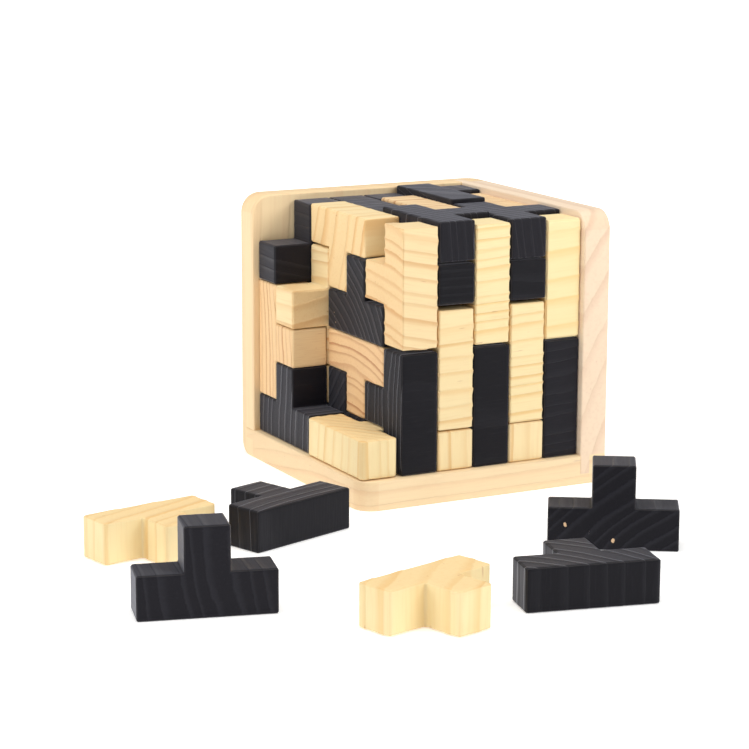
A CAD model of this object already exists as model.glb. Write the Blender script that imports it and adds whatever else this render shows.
# %% [markdown]
# # A cube of T blocks in an open corner tray
#
# The real puzzle is fifty-four equal wooden T blocks, half of them left pale and half stained
# black. They interlock into a cube that stands in a tray of three glued boards, and six of them
# lie beside it. The CAD model already fixes every size, place and sliding joint. This lesson
# gives each block worn edges, growth rings that run through it, and a finish of its own.

# %% Load the frame
import math
import random

import bmesh
import bpy
import numpy as np
from mathutils import Matrix, Vector
from mathutils.bvhtree import BVHTree


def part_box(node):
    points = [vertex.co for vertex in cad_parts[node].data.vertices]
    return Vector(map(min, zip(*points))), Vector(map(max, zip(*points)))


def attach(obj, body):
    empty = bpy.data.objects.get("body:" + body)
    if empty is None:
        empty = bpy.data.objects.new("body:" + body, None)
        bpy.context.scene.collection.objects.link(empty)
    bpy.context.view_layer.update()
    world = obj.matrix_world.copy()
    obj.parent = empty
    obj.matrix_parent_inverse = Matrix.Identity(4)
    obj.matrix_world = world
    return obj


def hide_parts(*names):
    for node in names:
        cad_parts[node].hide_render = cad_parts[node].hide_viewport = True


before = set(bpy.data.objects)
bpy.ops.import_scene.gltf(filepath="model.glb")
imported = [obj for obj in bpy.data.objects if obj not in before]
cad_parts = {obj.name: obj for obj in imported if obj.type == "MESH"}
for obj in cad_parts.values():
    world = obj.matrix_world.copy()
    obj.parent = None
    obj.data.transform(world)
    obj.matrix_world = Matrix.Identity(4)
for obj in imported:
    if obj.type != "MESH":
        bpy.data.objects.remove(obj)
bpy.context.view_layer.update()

# %% [markdown]
# Every place in the scene can be worked out from the cell, the small cube that the blocks are
# counted in. A block is three cells long, two deep and one thick, less a little play. So the
# length less the depth is one cell, and the cell less the thickness is the play. Reading both
# off a CAD node keeps the scene right if the model is ever made larger or smaller.

# %% Measure the cell and the play
MM = 0.001
post_low, post_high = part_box("left_front_lower_post")
thick, deep, long = sorted(post_high - post_low)
CELL = long - deep
PLAY = CELL - thick
CUBE_CELLS = 6
pocket_corner = post_low - Vector((CELL, 0, 0)) - Vector((PLAY, PLAY, PLAY)) / 2
cube_centre = pocket_corner + Vector((CELL, CELL, CELL)) * CUBE_CELLS / 2
print(f"cell {CELL / MM:.2f} mm, play {PLAY / MM:.2f} mm")

# %% [markdown]
# The picture is taken from a good way off with a long lens, which keeps the cube's edges almost
# parallel. The camera is placed by its angles round the cube, and then slid sideways and up so
# that the cube sits above the middle and leaves room for the loose blocks.

# %% Place the camera
AZIMUTH = math.radians(-27.528)
ELEVATION = math.radians(12.147)
ROLL = math.radians(-0.203)
DISTANCE = 61.98 * CELL
SLIDE_RIGHT = 1.049 * CELL
SLIDE_UP = 1.206 * CELL
LENS = 117.68
FILM_WIDTH = 36
SEES_FROM = 0.05
SEES_TO = 20

back = Vector((
    math.sin(AZIMUTH) * math.cos(ELEVATION),
    -math.cos(AZIMUTH) * math.cos(ELEVATION),
    math.sin(ELEVATION),
))
right = Vector((math.cos(AZIMUTH), math.sin(AZIMUTH), 0))
up = back.cross(right)
turn = Matrix((right, up, back)).transposed().to_4x4()
turn = turn @ Matrix.Rotation(-ROLL, 4, "Z")
eye = Vector((-SLIDE_RIGHT, -SLIDE_UP, DISTANCE))

camera = bpy.data.objects.new("camera", bpy.data.cameras.new("camera"))
camera.data.lens = LENS
camera.data.sensor_width = FILM_WIDTH
camera.data.clip_start = SEES_FROM
camera.data.clip_end = SEES_TO
camera.matrix_world = Matrix.Translation(cube_centre + turn.to_3x3() @ eye) @ turn
bpy.context.scene.collection.objects.link(camera)
bpy.context.scene.camera = camera
print("camera at", [round(c, 3) for c in camera.matrix_world.translation])

# %% [markdown]
# Node trees are easier to read when each node takes one short line. This helper adds a node,
# sets what is written after it, and joins it to the sockets that it is given. It works for
# geometry trees and for shader trees alike, because both share their arithmetic nodes.

# %% A short way to write node trees


class Sheet:
    """One node tree, to which nodes are added in short calls."""

    def __init__(self, tree):
        self.tree = tree
        self.count = 0

    def add(self, kind, values=None, out=None, **settings):
        """A new node. values are numbers or sockets for its inputs, by name or by number."""
        node = self.tree.nodes.new(kind)
        node.location = (190 * self.count, -40 * (self.count % 5))
        self.count += 1
        for name, value in settings.items():
            setattr(node, name, value)
        for key, value in (values or {}).items():
            self.feed(node, key, value)
        if out is not None:
            return [s for s in node.outputs if s.enabled and s.name == out][0]
        return [s for s in node.outputs if s.enabled][0] if node.outputs else node

    def feed(self, node, key, value):
        """Joins a socket to an input, or writes a number in it."""
        found = node.inputs[key] if isinstance(key, int) else [
            s for s in node.inputs if s.enabled and s.name == key
        ][0]
        if isinstance(value, bpy.types.NodeSocket):
            self.tree.links.new(value, found)
        else:
            found.default_value = value

    def number(self, operation, *values):
        """Arithmetic on numbers."""
        return self.add("ShaderNodeMath", dict(enumerate(values)), operation=operation)

    def vector(self, operation, *values):
        """Arithmetic on vectors. SCALE takes its number last."""
        if operation == "SCALE":
            return self.add(
                "ShaderNodeVectorMath", {0: values[0], "Scale": values[1]}, operation=operation
            )
        return self.add("ShaderNodeVectorMath", dict(enumerate(values)), operation=operation)

    def ramp(self, value, low, high, to_low=0.0, to_high=1.0):
        """A smooth rise from one value to another."""
        return self.add(
            "ShaderNodeMapRange",
            {
                "Value": value,
                "From Min": low,
                "From Max": high,
                "To Min": to_low,
                "To Max": to_high,
            },
            interpolation_type="SMOOTHSTEP",
        )

    def noise(self, place, scale, detail=2.0, roughness=0.5, stretch=None):
        """Soft noise from about 0 to 1, which may be stretched along an axis."""
        if stretch is not None:
            place = self.vector("MULTIPLY", place, stretch)
        return self.add(
            "ShaderNodeTexNoise",
            {"Vector": place, "Scale": scale, "Detail": detail, "Roughness": roughness},
            noise_dimensions="3D",
        )


def new_tree(kind, name, inputs, outputs):
    """A node group with named sockets: its sheet, the sockets it is given, and those it fills."""
    tree = bpy.data.node_groups.new(name, kind)
    for direction, sockets in (("INPUT", inputs), ("OUTPUT", outputs)):
        for label, socket_kind, *value in sockets:
            socket = tree.interface.new_socket(
                name=label, in_out=direction, socket_type="NodeSocket" + socket_kind
            )
            if value:
                socket.default_value = value[0]
    given = tree.nodes.new("NodeGroupInput").outputs
    made = tree.nodes.new("NodeGroupOutput").inputs
    return Sheet(tree), given, made


# %% [markdown]
# The object stands on a wide pale floor in a white room, as in a product studio. The floor glows
# like a light table, softly under the object and brighter further out, so that shadows stay
# faint and the floor runs into the white room without a visible edge.

# %% Build the floor
FLOOR_HALF = 3.0
GLOW_NEAR = 0.36
GLOW_FAR = 1.0
GLOW_STARTS = 0.15
GLOW_ENDS = 0.6

floor_mesh = bpy.data.meshes.new("floor")
corners = [(-1, -1), (1, -1), (1, 1), (-1, 1)]
floor_mesh.from_pydata([(FLOOR_HALF * a, FLOOR_HALF * b, 0) for a, b in corners], [], [range(4)])
floor_finish = bpy.data.materials.new("pale_floor")
floor_finish.use_nodes = True
sheet = Sheet(floor_finish.node_tree)
paint = floor_finish.node_tree.nodes["Principled BSDF"]
floor_place = sheet.add("ShaderNodeTexCoord", out="Object")
cloud = sheet.noise(floor_place, 3.0)
from_middle = sheet.add("ShaderNodeVectorMath", {0: floor_place}, out="Value", operation="LENGTH")
glow = sheet.ramp(from_middle, GLOW_STARTS, GLOW_ENDS, GLOW_NEAR, GLOW_FAR)
tone = sheet.add(
    "ShaderNodeMix",
    {"Factor": cloud, "A": (0.94, 0.94, 0.94, 1), "B": (0.92, 0.92, 0.92, 1)},
    data_type="RGBA",
)
sheet.feed(paint, "Base Color", tone)
glow_colour = sheet.add("ShaderNodeCombineColor", {0: glow, 1: glow, 2: glow})
sheet.feed(paint, "Emission Color", glow_colour)
paint.inputs["Emission Strength"].default_value = 1.0
paint.inputs["Roughness"].default_value = 0.7
floor_mesh.materials.append(floor_finish)
floor = bpy.data.objects.new("floor", floor_mesh)
bpy.context.scene.collection.objects.link(floor)
print("floor is", 2 * FLOOR_HALF, "m across")

# %% [markdown]
# The light is soft. It comes from above, from the front right and from the left, and the white
# room fills the shadows only a little, so the open cells between the blocks stay dark.

# %% Light the scene
ROOM_GLOW = 0.30
LAMP_COLOUR = (1.0, 0.985, 0.96)


def soft_light(name, place, size, power):
    """A square area light that looks at the middle of the cube."""
    lamp = bpy.data.lights.new(name, "AREA")
    lamp.size = size
    lamp.energy = power
    lamp.color = LAMP_COLOUR
    holder = bpy.data.objects.new(name, lamp)
    holder.location = place
    holder.rotation_mode = "QUATERNION"
    holder.rotation_quaternion = (cube_centre - Vector(place)).to_track_quat("-Z", "Y")
    bpy.context.scene.collection.objects.link(holder)
    print(name, "light:", power, "W")


world = bpy.data.worlds.new("white_room")
world.use_nodes = True
world.node_tree.nodes["Background"].inputs["Color"].default_value = (1, 1, 1, 1)
world.node_tree.nodes["Background"].inputs["Strength"].default_value = ROOM_GLOW
bpy.context.scene.world = world
bpy.context.scene.view_settings.view_transform = "Standard"
soft_light("overhead", place=(-0.1, -0.1, 0.9), size=0.7, power=5.5)
soft_light("front_right", place=(0.55, -1.0, 0.55), size=0.5, power=5.1)
soft_light("left", place=(-1.0, 0.1, 0.5), size=0.5, power=3.4)

# %% [markdown]
# A tree grows one ring a year round its pith. A block cut from it shows the rings as arcs on the
# faces that cut across the trunk and as near-parallel lines on the faces that run along it. If
# every point of a block knows its place in the log, one rule gives all its faces at once, and
# the lines meet at the edges as they do in real wood.
#
# The place is counted in ring widths, with the pith along Z. The rule adds slow noise to the
# distance from the pith, so that rings waver and no two years are equally wide. It is a plain
# function, because the geometry tree and the shader both need it.

# %% The growth ring rule
WAVER_SCALE = 0.17
WAVER_RINGS = 0.9
YEAR_SCALE = 0.35
YEAR_RINGS = 1.3
LATE_STARTS = 0.52
LATE_FULL = 0.90
LATE_STOPS = 0.91


def ring_count(sheet, place):
    """How many rings lie between the pith and a point."""
    flat = sheet.vector("MULTIPLY", place, (1.0, 1.0, 0.0))
    distance = sheet.add("ShaderNodeVectorMath", {0: flat}, out="Value", operation="LENGTH")
    waver = sheet.noise(place, WAVER_SCALE, detail=1.0, stretch=(1.0, 1.0, 0.4))
    years = sheet.add(
        "ShaderNodeTexNoise",
        {"W": distance, "Scale": YEAR_SCALE, "Detail": 1.0},
        noise_dimensions="1D",
    )
    shifted = sheet.number("MULTIPLY_ADD", waver, WAVER_RINGS, distance)
    return sheet.number("MULTIPLY_ADD", years, YEAR_RINGS, shifted)


def latewood(sheet, count):
    """The dark end of each ring: it comes on slowly and stops where the next year starts."""
    phase = sheet.number("FRACT", count)
    rise = sheet.ramp(phase, LATE_STARTS, LATE_FULL)
    stop = sheet.ramp(phase, LATE_STOPS, 1.0, 1.0, 0.0)
    return sheet.number("MULTIPLY", rise, stop)


# %% [markdown]
# Every block is the same shape, so its shape is a rule and belongs in Geometry Nodes. The tree
# lays one finely divided cube on each of the four cells, takes away the faces between them and
# joins what is left. Each point is then pulled in to the rounded surface: the nearest point of
# a slightly smaller T, plus the rounding radius in the same direction. The lines of squares
# are closer together near the edges, where the surface turns.
#
# Sanding eats the soft part of each ring more than the hard part, and most of all at an edge.
# So the tree finally sinks the soft wood, a little on the faces and more on the edges, which
# gives the fine scallops seen on worn softwood. Everything moves inwards, never past the CAD.

# %% The block tree: inputs and the four cells
EDGE_LINES = 3

sheet, given, made = new_tree(
    "GeometryNodeTree",
    "t_block",
    [
        ("Cell", "Float", 0.012),
        ("Play", "Float", 0.0002),
        ("Outline rounding", "Float", 0.0008),
        ("Face rounding", "Float", 0.0007),
        ("Squares per cell", "Int", 20),
        ("Scallop depth", "Float", 0.0002),
        ("Ring width", "Float", 0.002),
        ("Place in log", "Vector"),
        ("Lean", "Vector"),
        ("Tint", "Float", 0.5),
        ("Finish", "Material"),
    ],
    [("Block", "Geometry")],
)
block_tree = sheet.tree
cell = given["Cell"]
half_play = sheet.number("MULTIPLY", given["Play"], 0.5)
rounding = sheet.add("ShaderNodeCombineXYZ", {
    0: given["Outline rounding"], 1: given["Outline rounding"], 2: given["Face rounding"],
})
margin = sheet.vector("ADD", rounding, half_play)

# The cube is first made one unit for each of its squares, and its lines are then spread out.
squares = given["Squares per cell"]
lines = sheet.number("ADD", squares, 1)
unit_cube = sheet.add("GeometryNodeMeshCube", {
    "Size": sheet.add("ShaderNodeCombineXYZ", {0: squares, 1: squares, 2: squares}),
    "Vertices X": lines, "Vertices Y": lines, "Vertices Z": lines,
})
position = sheet.add("GeometryNodeInputPosition")
side = sheet.vector("SIGN", position)
steps = sheet.vector("ABSOLUTE", position)
plain_steps = sheet.number("MULTIPLY_ADD", squares, 0.5, -EDGE_LINES)
plain_width = sheet.vector("SUBTRACT", sheet.vector("SCALE", (0.5, 0.5, 0.5), cell), margin)
inner = sheet.vector("MINIMUM", steps, plain_steps)
inner = sheet.vector("MULTIPLY", inner, sheet.vector("DIVIDE", plain_width, plain_steps))
outer = sheet.vector("MAXIMUM", sheet.vector("SUBTRACT", steps, plain_steps), (0.0, 0.0, 0.0))
outer = sheet.vector("TANGENT", sheet.vector("SCALE", outer, math.radians(45) / EDGE_LINES))
outer = sheet.vector("MULTIPLY", outer, margin)
spread = sheet.vector("MULTIPLY", side, sheet.vector("ADD", inner, outer))
one_cell = sheet.add("GeometryNodeSetPosition", {"Geometry": unit_cube, "Position": spread})

bar_start = sheet.add("ShaderNodeCombineXYZ", {0: sheet.number("MULTIPLY", cell, -1.0)})
bar_step = sheet.add("ShaderNodeCombineXYZ", {0: cell})
stem_spot = sheet.add("ShaderNodeCombineXYZ", {1: cell})
bar_cells = sheet.add(
    "GeometryNodeMeshLine", {"Count": 3, "Start Location": bar_start, "Offset": bar_step}
)
stem_cell = sheet.add("GeometryNodeMeshLine", {"Count": 1, "Start Location": stem_spot})
spots = sheet.add("GeometryNodeJoinGeometry", {"Geometry": bar_cells})
sheet.tree.links.new(stem_cell, spots.node.inputs["Geometry"])
placed = sheet.add("GeometryNodeInstanceOnPoints", {"Points": spots, "Instance": one_cell})
cells = sheet.add("GeometryNodeRealizeInstances", {"Geometry": placed})
print("block tree:", len(block_tree.nodes), "nodes so far")

# %% [markdown]
# A face lies between two cells when its middle is half a cell from the bar's middle along the
# bar, or half a cell up where the stem stands. Those faces are deleted, or the block would be
# four closed boxes and not one skin.

# %% The block tree: one skin
x, y, z = (sheet.add("ShaderNodeSeparateXYZ", {0: position}, out=axis) for axis in "XYZ")
half_cell = sheet.number("MULTIPLY", cell, 0.5)
near = 0.01 * MM
across_x = sheet.number("COMPARE", sheet.number("ABSOLUTE", x), half_cell, near)
inside = sheet.number("SUBTRACT", half_cell, near)
in_bar = sheet.number("LESS_THAN", sheet.number("ABSOLUTE", y), inside)
across_y = sheet.number("COMPARE", y, half_cell, near)
under_stem = sheet.number("LESS_THAN", sheet.number("ABSOLUTE", x), inside)
between = sheet.number(
    "MAXIMUM",
    sheet.number("MULTIPLY", across_x, in_bar),
    sheet.number("MULTIPLY", across_y, under_stem),
)
shell = sheet.add(
    "GeometryNodeDeleteGeometry", {"Geometry": cells, "Selection": between}, domain="FACE"
)
skin = sheet.add("GeometryNodeMergeByDistance", {"Geometry": shell, "Distance": near})

# %% [markdown]
# The rounding works on both boxes of the T, the bar and the stem, and keeps whichever is
# nearer. That leaves the two inner corners sharp, as a saw leaves them.

# %% The block tree: rounded edges


def pulled_in(centre, size):
    """The nearest point of a box that is smaller by the margin, and how far off it is."""
    reach = sheet.vector("SUBTRACT", sheet.vector("SCALE", size, cell), margin)
    least = sheet.vector("SCALE", reach, -1.0)
    middle = sheet.vector("SCALE", centre, cell)
    offset = sheet.vector("SUBTRACT", position, middle)
    held = sheet.vector("MINIMUM", sheet.vector("MAXIMUM", offset, least), reach)
    nearest = sheet.vector("ADD", held, middle)
    gap = sheet.vector("DIVIDE", sheet.vector("SUBTRACT", position, nearest), rounding)
    gap_length = sheet.add("ShaderNodeVectorMath", {0: gap}, out="Value", operation="LENGTH")
    return nearest, gap, gap_length


bar_point, bar_gap, bar_length = pulled_in((0.0, 0.0, 0.0), (1.5, 0.5, 0.5))
stem_point, stem_gap, stem_length = pulled_in((0.0, 0.5, 0.0), (0.5, 1.0, 0.5))
stem_nearer = sheet.number("LESS_THAN", stem_length, bar_length)
core = sheet.add(
    "GeometryNodeSwitch",
    {"Switch": stem_nearer, "False": bar_point, "True": stem_point},
    input_type="VECTOR",
)
outward = sheet.vector("NORMALIZE", sheet.add(
    "GeometryNodeSwitch",
    {"Switch": stem_nearer, "False": bar_gap, "True": stem_gap},
    input_type="VECTOR",
))
rounded = sheet.vector("ADD", core, sheet.vector("MULTIPLY", outward, rounding))

# 0 on a flat face, 1 on the crest of an edge
ox, oy, oz = (
    sheet.add("ShaderNodeSeparateXYZ", {0: sheet.vector("ABSOLUTE", outward)}, out=axis)
    for axis in "XYZ"
)
steepest = sheet.number("MAXIMUM", sheet.number("MAXIMUM", ox, oy), oz)
edge = sheet.ramp(steepest, 1.0, math.cos(math.radians(45)))

# %% [markdown]
# Now the log. A block leans a little in it, so its lines run slightly askew, and it sits at its
# own distance and direction from the pith. The tree stores that place on every point, so that
# the finish can read it.

# %% The block tree: place in the log, scallops and output
SINK_ON_FACES = 0.35
SINK_ON_EDGES = 1.0

lean_by = sheet.vector("SCALE", given["Lean"], z)
upright = sheet.vector("SUBTRACT", rounded, lean_by)
in_rings = sheet.vector(
    "DIVIDE",
    upright,
    sheet.add("ShaderNodeCombineXYZ", {i: given["Ring width"] for i in range(3)}),
)
log_place = sheet.vector("ADD", in_rings, given["Place in log"])


def store(geometry, name, value, data_type):
    """Keeps a value on every point, under a name that a material can read."""
    return sheet.add(
        "GeometryNodeStoreNamedAttribute",
        {"Geometry": geometry, "Name": name, "Value": value},
        data_type=data_type,
        domain="POINT",
    )


wood = store(skin, "log_place", log_place, "FLOAT_VECTOR")
wood = store(wood, "edge", edge, "FLOAT")
wood = store(wood, "tint", given["Tint"], "FLOAT")
soft = sheet.number("SUBTRACT", 1.0, latewood(sheet, ring_count(sheet, log_place)))
share = sheet.number("MULTIPLY_ADD", edge, SINK_ON_EDGES - SINK_ON_FACES, SINK_ON_FACES)
sink = sheet.number("MULTIPLY", sheet.number("MULTIPLY", soft, share), given["Scallop depth"])
worn = sheet.vector("SUBTRACT", rounded, sheet.vector("SCALE", outward, sink))
wood = sheet.add("GeometryNodeSetPosition", {"Geometry": wood, "Position": worn})
wood = sheet.add("GeometryNodeSetShadeSmooth", {"Geometry": wood})
wood = sheet.add("GeometryNodeRealizeInstances", {"Geometry": wood})
wood = sheet.add("GeometryNodeSetMaterial", {"Geometry": wood, "Material": given["Finish"]})
block_tree.links.new(wood, made["Block"])
print("block tree:", len(block_tree.nodes), "nodes")

# %% [markdown]
# The finishes share three effects, and each is a shader group with named sockets. The first
# draws the growth rings, with the same rule as the geometry.

# %% Shared effect: growth rings
sheet, given, made = new_tree(
    "ShaderNodeTree",
    "growth_rings",
    [("Place", "Vector"), ("Fuzz", "Float", 0.05)],
    [("Latewood", "Float"), ("Year", "Float")],
)
rings_group = sheet.tree
fuzz = sheet.noise(given["Place"], 2.6, detail=3.0, stretch=(1.0, 1.0, 0.12))
fuzz = sheet.number("MULTIPLY", sheet.number("SUBTRACT", fuzz, 0.5), given["Fuzz"])
count = sheet.number("ADD", ring_count(sheet, given["Place"]), fuzz)
year = sheet.add(
    "ShaderNodeTexWhiteNoise",
    {"W": sheet.number("FLOOR", count)},
    out="Value",
    noise_dimensions="1D",
)
rings_group.links.new(latewood(sheet, count), made["Latewood"])
rings_group.links.new(year, made["Year"])
print("growth_rings:", len(rings_group.nodes), "nodes")

# %% [markdown]
# Between the rings the wood is full of fine fibres. They run along the trunk, so the noise is
# stretched along Z, and it shows as short streaks on the sides and as dots on the end grain.
# A few short dark resin canals are picked out with a high threshold.

# %% Shared effect: fibres
sheet, given, made = new_tree(
    "ShaderNodeTree",
    "wood_fibres",
    [("Place", "Vector")],
    [("Streak", "Float"), ("Resin", "Float"), ("Cloud", "Float")],
)
fibre_group = sheet.tree
streak = sheet.noise(given["Place"], 7.0, detail=3.0, stretch=(1.0, 1.0, 0.06))
canals = sheet.noise(given["Place"], 3.1, detail=1.0, stretch=(1.0, 1.0, 0.16))
cloud = sheet.noise(given["Place"], 0.16, detail=2.0)
fibre_group.links.new(streak, made["Streak"])
fibre_group.links.new(sheet.ramp(canals, 0.74, 0.80), made["Resin"])
fibre_group.links.new(cloud, made["Cloud"])
print("wood_fibres:", len(fibre_group.nodes), "nodes")

# %% [markdown]
# Edges wear first. The geometry left a value on every point that is 1 on the crest of an edge.
# Noise breaks it up, so that the wear comes and goes along the edge.

# %% Shared effect: worn edges
sheet, given, made = new_tree(
    "ShaderNodeTree",
    "worn_edges",
    [("Edge", "Float"), ("Place", "Vector"), ("Spread", "Float", 0.5)],
    [("Wear", "Float")],
)
wear_group = sheet.tree
patches = sheet.noise(given["Place"], 0.9, detail=4.0, roughness=0.65)
start = sheet.number("SUBTRACT", 1.15, given["Spread"])
torn = sheet.number("MULTIPLY_ADD", sheet.number("SUBTRACT", patches, 0.5), 0.9, given["Edge"])
wear = sheet.ramp(torn, sheet.number("SUBTRACT", start, 0.25), sheet.number("ADD", start, 0.1))
wear_group.links.new(wear, made["Wear"])
print("worn_edges:", len(wear_group.nodes), "nodes")

# %% [markdown]
# A finish starts from the same readings on every piece: its place in the log, how close it is to
# an edge, and whether a face cuts across the fibres. End grain drinks more light and more stain,
# so it has its own tone. The bump carries the fine relief that is too small for the mesh.

# %% What every wood finish reads


class WoodFinish:
    """A material that has read the log and can mix colours over it."""

    def __init__(self, name, fuzz, wear_spread):
        self.material = bpy.data.materials.new(name)
        self.material.use_nodes = True
        self.paint = self.material.node_tree.nodes["Principled BSDF"]
        self.sheet = Sheet(self.material.node_tree)
        self.place = self.read("log_place", "Vector")
        self.tint = self.read("tint", "Fac")
        rings = self.group(rings_group, {"Place": self.place, "Fuzz": fuzz})
        self.latewood, self.year = rings["Latewood"], rings["Year"]
        fibres = self.group(fibre_group, {"Place": self.place})
        self.streak, self.resin, self.cloud = fibres["Streak"], fibres["Resin"], fibres["Cloud"]
        edge = {"Edge": self.read("edge", "Fac"), "Place": self.place, "Spread": wear_spread}
        self.wear = self.group(wear_group, edge)["Wear"]
        facing = self.sheet.add("ShaderNodeTexCoord", out="Normal")
        along = self.sheet.add(
            "ShaderNodeVectorMath",
            {0: facing, 1: self.read("fibre_way", "Vector")},
            out="Value",
            operation="DOT_PRODUCT",
        )
        self.end_grain = self.sheet.ramp(self.sheet.number("ABSOLUTE", along), 0.55, 0.85)

    def read(self, name, output):
        """A value that the mesh carries on its points."""
        return self.sheet.add("ShaderNodeAttribute", out=output, attribute_name=name)

    def group(self, tree, values):
        """A shared effect, with its outputs by name."""
        first = self.sheet.add("ShaderNodeGroup", values, node_tree=tree)
        return {s.name: s for s in first.node.outputs}

    def mix(self, amount, a, b, blend="MIX"):
        """Colour a with some of colour b."""
        return self.sheet.add(
            "ShaderNodeMix", {"Factor": amount, "A": a, "B": b}, data_type="RGBA", blend_type=blend
        )

    def part(self, mask, share):
        """A mask made weaker."""
        return self.sheet.number("MULTIPLY", mask, share)

    def finish(self, colour, roughness, height, depth):
        """Joins the results to the shader."""
        self.sheet.feed(self.paint, "Base Color", colour)
        self.sheet.feed(self.paint, "Roughness", roughness)
        relief = {"Height": height, "Distance": depth, "Strength": 1.0}
        bump = self.sheet.add("ShaderNodeBump", relief)
        self.sheet.feed(self.paint, "Normal", bump)
        print(self.material.name, "has", len(self.material.node_tree.nodes), "nodes")
        return self.material


# %% [markdown]
# Pine is cream with narrow orange lines. Some pieces come from yellower wood and some from
# pinker wood, which the tint decides. It has no varnish, only a light sanding, so it is matt.

# %% Finish: natural pine


def pine_finish(name, cream, pink, line_on_cream, line_on_pink, end_tone, faint, bold):
    """Bare pine between two tints. Its lines go from faint to bold with the tint."""
    wood = WoodFinish(name, fuzz=0.14, wear_spread=0.35)
    early = wood.mix(wood.tint, cream, pink)
    late = wood.mix(wood.tint, line_on_cream, line_on_pink)
    year = wood.sheet.number("MULTIPLY_ADD", wood.year, 0.75, 0.25)
    strength = wood.sheet.number("MULTIPLY_ADD", wood.tint, bold - faint, faint)
    line = wood.sheet.number("MULTIPLY", wood.part(wood.latewood, year), strength)
    colour = wood.mix(line, early, late)
    colour = wood.mix(wood.part(wood.cloud, 0.25), colour, late)
    colour = wood.mix(wood.part(wood.end_grain, 0.75), colour, end_tone, "MULTIPLY")
    streak = wood.sheet.ramp(wood.streak, 0.45, 0.75)
    colour = wood.mix(wood.part(streak, 0.16), colour, late)
    colour = wood.mix(wood.part(wood.resin, 0.45), colour, line_on_pink)
    colour = wood.mix(wood.part(wood.wear, 0.10), colour, (0.80, 0.52, 0.26, 1), "MULTIPLY")
    roughness = wood.sheet.number("MULTIPLY_ADD", wood.streak, 0.2, 0.48)
    height = wood.sheet.number("MULTIPLY_ADD", wood.streak, 0.35, wood.latewood)
    wood.paint.inputs["Specular IOR Level"].default_value = 0.35
    return wood.finish(colour, roughness, height, 0.12 * MM)


natural_pine = pine_finish(
    "natural_pine",
    cream=(0.93, 0.79, 0.46, 1),
    pink=(0.92, 0.69, 0.40, 1),
    line_on_cream=(0.85, 0.55, 0.20, 1),
    line_on_pink=(0.52, 0.23, 0.11, 1),
    end_tone=(0.98, 0.88, 0.80, 1),
    faint=0.70,
    bold=0.95,
)

# %% [markdown]
# The tray boards come from a faster-grown tree: wide rings and faint lines, paler than the blocks.

# %% Finish: tray pine
tray_pine = pine_finish(
    "tray_pine",
    cream=(0.92, 0.73, 0.45, 1),
    pink=(0.91, 0.75, 0.58, 1),
    line_on_cream=(0.78, 0.50, 0.28, 1),
    line_on_pink=(0.66, 0.44, 0.32, 1),
    end_tone=(0.99, 0.95, 0.92, 1),
    faint=0.35,
    bold=0.60,
)

# %% [markdown]
# The other blocks are dipped in black stain. It soaks deep into end grain and leaves the hard
# lines a touch lighter. The raised fibres give it a bluish bloom when it is seen at a slant. It
# wears grey on the edges, and a chip knocked out of it shows the bare wood.

# %% Finish: black-stained pine
BARE_WOOD = (0.66, 0.45, 0.27, 1)
CHIP_RAGGEDNESS = 0.9

black = WoodFinish("black_pine", fuzz=0.2, wear_spread=0.45)
stain = black.mix(black.tint, (0.0030, 0.0028, 0.0052, 1), (0.0105, 0.0098, 0.0145, 1))
lines = black.part(black.latewood, black.sheet.number("MULTIPLY_ADD", black.end_grain, 0.20, 0.09))
colour = black.mix(lines, stain, (0.030, 0.030, 0.040, 1))
speckle = black.sheet.ramp(black.streak, 0.5, 0.8)
colour = black.mix(black.part(speckle, 0.15), colour, (0.036, 0.035, 0.043, 1))
colour = black.mix(black.part(black.wear, 0.4), colour, (0.055, 0.050, 0.050, 1))
ragged = black.sheet.noise(black.place, 5.0, detail=2.0)
chip_offset = black.read("chip_offset", "Vector")
off_chip = black.sheet.add(
    "ShaderNodeVectorMath", {0: chip_offset}, out="Value", operation="LENGTH"
)
ragged = black.sheet.number("SUBTRACT", ragged, 0.5)
off_chip = black.sheet.number("MULTIPLY_ADD", ragged, CHIP_RAGGEDNESS, off_chip)
chip = black.sheet.ramp(off_chip, 0.8, 1.0, 1.0, 0.0)
chip = black.sheet.number("MULTIPLY", chip, black.read("chipped", "Fac"))
colour = black.mix(chip, colour, BARE_WOOD)
roughness = black.sheet.number("MULTIPLY_ADD", black.streak, 0.25, 0.44)
roughness = black.sheet.number("MULTIPLY_ADD", black.latewood, -0.16, roughness)
roughness = black.sheet.number("MULTIPLY_ADD", black.wear, -0.06, roughness)
height = black.sheet.number("MULTIPLY_ADD", black.streak, 0.5, black.latewood)
height = black.sheet.number("SUBTRACT", height, black.part(chip, 2.0))
black.paint.inputs["Specular IOR Level"].default_value = 0.15
black.paint.inputs["Sheen Weight"].default_value = 0.41
black.paint.inputs["Sheen Roughness"].default_value = 0.36
black.paint.inputs["Sheen Tint"].default_value = (0.86, 0.87, 1.0, 1)
black_pine = black.finish(colour, roughness, height, 0.10 * MM)

# %% [markdown]
# The tree makes a block in its own frame: the bar along X, the stem along Y. Where it goes is
# read off the CAD node's mesh. Its faces give three directions, and the extent along each tells
# the bar from the stem and from the thickness. The bar is on the side where the block is long.

# %% Read where a block lies


def direct(way):
    """The same line, pointing towards its largest positive coordinate."""
    largest = max(way, key=abs)
    return way if largest > 0 else -way


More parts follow.
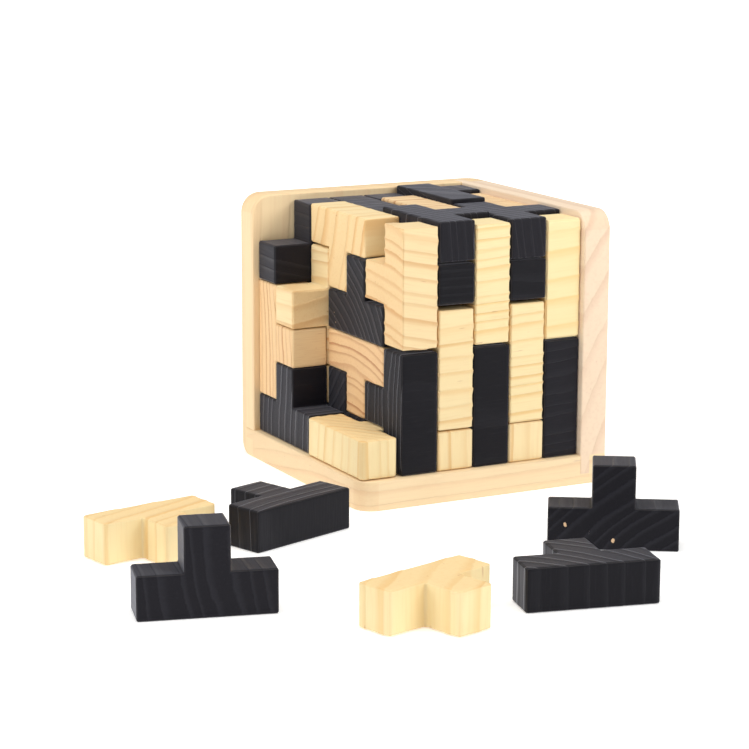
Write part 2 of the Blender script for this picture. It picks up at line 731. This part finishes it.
def lie_of(node):
    """The matrix that takes a block from its own frame to its place."""
    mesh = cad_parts[node].data
    points = np.array([v.co for v in mesh.vertices])
    ways = []
    for polygon in mesh.polygons:
        if all(abs(polygon.normal.dot(way)) < 0.5 for way in ways):
            ways.append(direct(polygon.normal.copy()))
    ways.sort(key=lambda way: np.ptp(points @ np.array(way)))
    thin, stem, bar = ways
    heights = points @ np.array(stem)
    widths = points @ np.array(bar)
    low_end = np.ptp(widths[heights < heights.min() + PLAY])
    if low_end < 2 * CELL:
        stem = -stem
        heights = -heights
    thin_middle = (points @ np.array(thin)).min() + (CELL - PLAY) / 2
    bar_middle = (widths.min() + widths.max()) / 2
    stem_level = heights.min() + (CELL - PLAY) / 2
    middle = bar * bar_middle + stem * stem_level + thin * thin_middle
    lie = Matrix((bar, stem, bar.cross(stem))).transposed().to_4x4()
    lie.translation = middle
    return lie


# %% [markdown]
# Each block gets its own cut from the log. Most blocks are left to a seeded draw, and the ones
# in plain view are chosen: the direction of the pith in degrees, the ring width in millimetres,
# the lean of the fibres and the tint. A few also have their own distance to the pith in rings,
# rounding of the outline or depth of scallop, both in millimetres.

# %% Choose each block's wood
CHOSEN = {
    "left_front_upper_post": dict(heading=-10, width=4.2, lean=(0.19, 0), tint=0.55, scallop=0.8),
    "left_top_tie": dict(heading=-20, width=5.8, lean=(0, 0.04), tint=0.35),
    "left_inner_post": dict(heading=8, width=4.4, lean=(0.04, 0), tint=0.45),
    "left_back_lower_post": dict(heading=86, width=2.4, lean=(0.0, 0.03), tint=0.85),
    "left_lower_cross_bar": dict(heading=-95, width=2.8, lean=(0, 0), tint=1.0, distance=24),
    "left_floor_front_bar": dict(heading=54, width=3.2, lean=(0.02, 0.03), tint=0.15, outline=1.5),
    "middle_front_upper_post": dict(heading=4, width=3.2, lean=(-0.05, 0), tint=0.1, scallop=0.8),
    "right_front_upper_post": dict(
        heading=-6, width=7.5, lean=(-0.06, 0), tint=0.0, scallop=0.4, outline=1.0,
    ),
    "middle_front_outer_post": dict(heading=8, width=4.8, lean=(-0.03, 0), tint=0.3, scallop=0.8),
    "right_front_outer_post": dict(heading=-8, width=3.6, lean=(-0.03, 0), tint=0.15, scallop=0.8),
    "middle_floor_front_bar": dict(heading=84, width=5.5, lean=(0, 0.02), tint=0.3),
    "right_floor_front_bar": dict(heading=95, width=7.0, lean=(0, 0), tint=0.35),
    "loose_low_shelf_bar": dict(heading=60, width=6.0, lean=(0, 0), tint=0.1, outline=1.3),
    "loose_front_outer_post": dict(heading=75, width=5.0, lean=(0, 0), tint=0.15, outline=1.2),
    "loose_middle_post": dict(heading=40, width=4.2, lean=(0, 0), tint=0.3, distance=8),
    "middle_top_front_cap": dict(heading=74, width=2.8, lean=(0, 0.10), tint=0.8),
    "right_top_front_cap": dict(heading=70, width=3.0, lean=(0, 0.14), tint=0.9),
    "right_top_back_cap": dict(heading=78, width=2.8, lean=(0, 0.20), tint=0.7),
    "left_floor_back_bar": dict(heading=4, width=4.0, lean=(0, 0), tint=0.9),
    "left_front_lower_post": dict(heading=88, width=2.9, lean=(0, 0), tint=0.2),
    "left_upper_cross_bar": dict(heading=135, width=2.8, lean=(0, 0), tint=0.2, distance=16),
}
BLACK_PLACES = (
    "top_front_cap", "top_back_cap", "back_upper_post", "floor_back_bar", "upper_cross_bar",
    "front_lower_post", "floor_inner_bar", "front_shelf_bar", "middle_post",
)


def is_black(name):
    """Whether a block is one of the stained ones. Its name is its slab and its place."""
    return name.split("_", 1)[1] in BLACK_PLACES


def wood_of(name, number):
    """The cut of one block: seeded, unless it was chosen."""
    draw = random.Random(number)
    wood = dict(
        heading=draw.uniform(0, 360),
        width=draw.uniform(2.4, 4.6),
        lean=(draw.uniform(-0.05, 0.05), draw.uniform(-0.05, 0.05)),
        tint=draw.random(),
        distance=draw.uniform(30, 90),
        outline=draw.uniform(0.45, 0.75),
        height=draw.uniform(0, 900),
        scallop=0.07 if is_black(name) else 0.22,
    )
    wood.update(CHOSEN.get(name, {}))
    return wood


# %% [markdown]
# A modifier on an empty mesh runs the tree. Its inputs are set by the sockets' identifiers,
# before Blender first works it out. The result is copied to a plain mesh, the modifier is thrown
# away, and the mesh itself is moved to its place, so the object stays at the origin.

# %% Make one block
FACE_ROUNDING = 0.55
SQUARES_PER_CELL = 20

# The middle and the half sizes of each chip, in millimetres in the block's own frame
CHIPS = {
    "loose_top_back_cap": [
        ((-13.1, 1.1, 5.9), (0.50, 0.75, 1.0)),
        ((0.0, -3.1, 5.9), (0.50, 0.75, 1.0)),
    ],
    "left_upper_cross_bar": [
        ((13.8, -0.8, -5.9), (0.18, 0.18, 1.0)),
        ((12.8, -3.7, -5.9), (0.18, 0.25, 1.0)),
    ],
}
SOCKETS = {s.name: s.identifier for s in block_tree.interface.items_tree if s.in_out == "INPUT"}


def write_vectors(mesh, name, values):
    """Keeps a vector on each point of a mesh, or the same one on all, for a finish to read."""
    rows = np.broadcast_to(np.array(values, np.float32), (len(mesh.vertices), 3))
    mesh.attributes.new(name, "FLOAT_VECTOR", "POINT").data.foreach_set("vector", rows.ravel())


def write_numbers(mesh, name, values):
    """Keeps a number on each point of a mesh, or the same one on all."""
    row = np.broadcast_to(np.array(values, np.float32), len(mesh.vertices))
    mesh.attributes.new(name, "FLOAT", "POINT").data.foreach_set("value", row.ravel())


def mark_chips(mesh, chips):
    """Writes how far each point is from the nearest chip, where 1 is the chip's rim."""
    points = np.array([v.co for v in mesh.vertices]) / MM
    offsets = np.array([(points - centre) / size for centre, size in chips])
    nearest = np.linalg.norm(offsets, axis=2).argmin(axis=0)
    write_vectors(mesh, "chip_offset", offsets[nearest, np.arange(len(points))])
    write_numbers(mesh, "chipped", 1.0)


def make_block(node, wood, finish):
    """A T block in place of a CAD node."""
    heading = math.radians(wood["heading"])
    off = wood["distance"]
    values = {
        "Cell": CELL,
        "Play": PLAY,
        "Outline rounding": wood["outline"] * MM,
        "Face rounding": FACE_ROUNDING * MM,
        "Squares per cell": SQUARES_PER_CELL,
        "Scallop depth": wood["scallop"] * MM,
        "Ring width": wood["width"] * MM,
        "Place in log": (off * math.cos(heading), off * math.sin(heading), wood["height"]),
        "Lean": (*wood["lean"], 0.0),
        "Tint": wood["tint"],
        "Finish": finish,
    }
    blank = bpy.data.objects.new(node + "_blank", bpy.data.meshes.new(node + "_blank"))
    bpy.context.scene.collection.objects.link(blank)
    modifier = blank.modifiers.new("t_block", "NODES")
    modifier.node_group = block_tree
    for name, value in values.items():
        modifier[SOCKETS[name]] = value
    graph = bpy.context.evaluated_depsgraph_get()
    mesh = bpy.data.meshes.new_from_object(blank.evaluated_get(graph), depsgraph=graph)
    bpy.data.objects.remove(blank)
    mesh.name = "block_" + node
    if node in CHIPS:
        mark_chips(mesh, CHIPS[node])
    lie = lie_of(node)
    mesh.transform(lie)
    fibre_way = lie.to_3x3() @ Vector((*wood["lean"], 1.0)).normalized()
    write_vectors(mesh, "fibre_way", fibre_way)
    block = bpy.data.objects.new("block_" + node, mesh)
    bpy.context.scene.collection.objects.link(block)
    return block


# %% Make all the blocks
FINISHES = {"natural_pine": natural_pine, "black_pine": black_pine}
block_nodes = sorted(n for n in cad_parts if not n.startswith("tray"))
faces = 0
for number, node in enumerate(block_nodes):
    slot = "black_pine" if is_black(node) else "natural_pine"
    block = make_block(node, wood_of(node, number), FINISHES[slot])
    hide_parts(node)
    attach(block, node)
    faces += len(block.data.polygons)
print(len(block_nodes), "blocks,", faces, "faces")

# %% [markdown]
# The tray is three boards, glued with tongues in grooves. Each board is a copy of its CAD solid,
# because its shape is right already. The copy's loose triangles are merged, flat faces are made
# whole again, and its open corners are broken slightly, as a sanding block does it. The corners
# inside a glued joint are left sharp, because the glue line is sanded flush.

# %% Make the tray's boards
BREAK = 0.5 * MM
BREAK_ROWS = 3
BROKEN_FROM = math.radians(30)
SMOOTH_UP_TO = math.radians(35)


def glued(board):
    """A test for points that touch one of the other two boards."""
    others = bmesh.new()
    for node in BOARDS:
        if node != board:
            others.from_mesh(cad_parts[node].data)
    surface = BVHTree.FromBMesh(others)
    others.free()
    return lambda point: surface.find_nearest(point)[3] < 0.1 * MM


def make_board(node, fibres, rings_from, width, tint):
    """One board. fibres is the way of its grain, rings_from the way and the rings to its pith."""
    shape = bmesh.new()
    shape.from_mesh(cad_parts[node].data)
    bmesh.ops.remove_doubles(shape, verts=shape.verts, dist=0.001 * MM)
    bmesh.ops.dissolve_limit(
        shape, angle_limit=math.radians(0.5), verts=shape.verts, edges=shape.edges
    )
    in_joint = glued(node)
    open_edges = [
        e for e in shape.edges
        if e.is_manifold and e.is_convex and e.calc_face_angle(0) > BROKEN_FROM
        and not in_joint((e.verts[0].co + e.verts[1].co) / 2)
    ]
    ridge = bmesh.ops.bevel(
        shape, geom=open_edges, offset=BREAK, segments=BREAK_ROWS, profile=0.5,
        affect="EDGES", clamp_overlap=True,
    )
    crest = set(ridge["verts"])
    on_crest = [v in crest and all(len(f.verts) == 4 for f in v.link_faces) for v in shape.verts]
    mesh = bpy.data.meshes.new("board_" + node)
    shape.to_mesh(mesh)
    shape.free()
    write_numbers(mesh, "edge", on_crest)
    write_numbers(mesh, "tint", tint)
    along = Vector(fibres).normalized()
    out = Vector(rings_from)
    distance = out.length
    out = (out - along * out.dot(along)).normalized()
    to_log = Matrix((out, along.cross(out), along))
    points = np.array([to_log @ v.co for v in mesh.vertices], np.float32) / (width * MM)
    points[:, 0] += distance
    write_vectors(mesh, "log_place", points)
    write_vectors(mesh, "fibre_way", along)
    for polygon in mesh.polygons:
        polygon.use_smooth = True
    mesh.set_sharp_from_angle(angle=SMOOTH_UP_TO)
    mesh.materials.append(tray_pine)
    board = bpy.data.objects.new("board_" + node, mesh)
    bpy.context.scene.collection.objects.link(board)
    return board


BOARDS = {
    "tray_base": dict(fibres=(1, 0, 0.02), rings_from=(0, 8, 60), width=4.0, tint=0.1),
    "tray_back_wall": dict(fibres=(0.02, 0, 1), rings_from=(11, 4, 0), width=7.0, tint=0.0),
    "tray_side_wall": dict(fibres=(0, 1, 0), rings_from=(-29, 0, 8), width=7.5, tint=0.9),
}
for node, wood in BOARDS.items():
    board = make_board(node, **wood)
    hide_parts(node)
    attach(board, "tray")
    print(board.name, len(board.data.polygons), "faces")
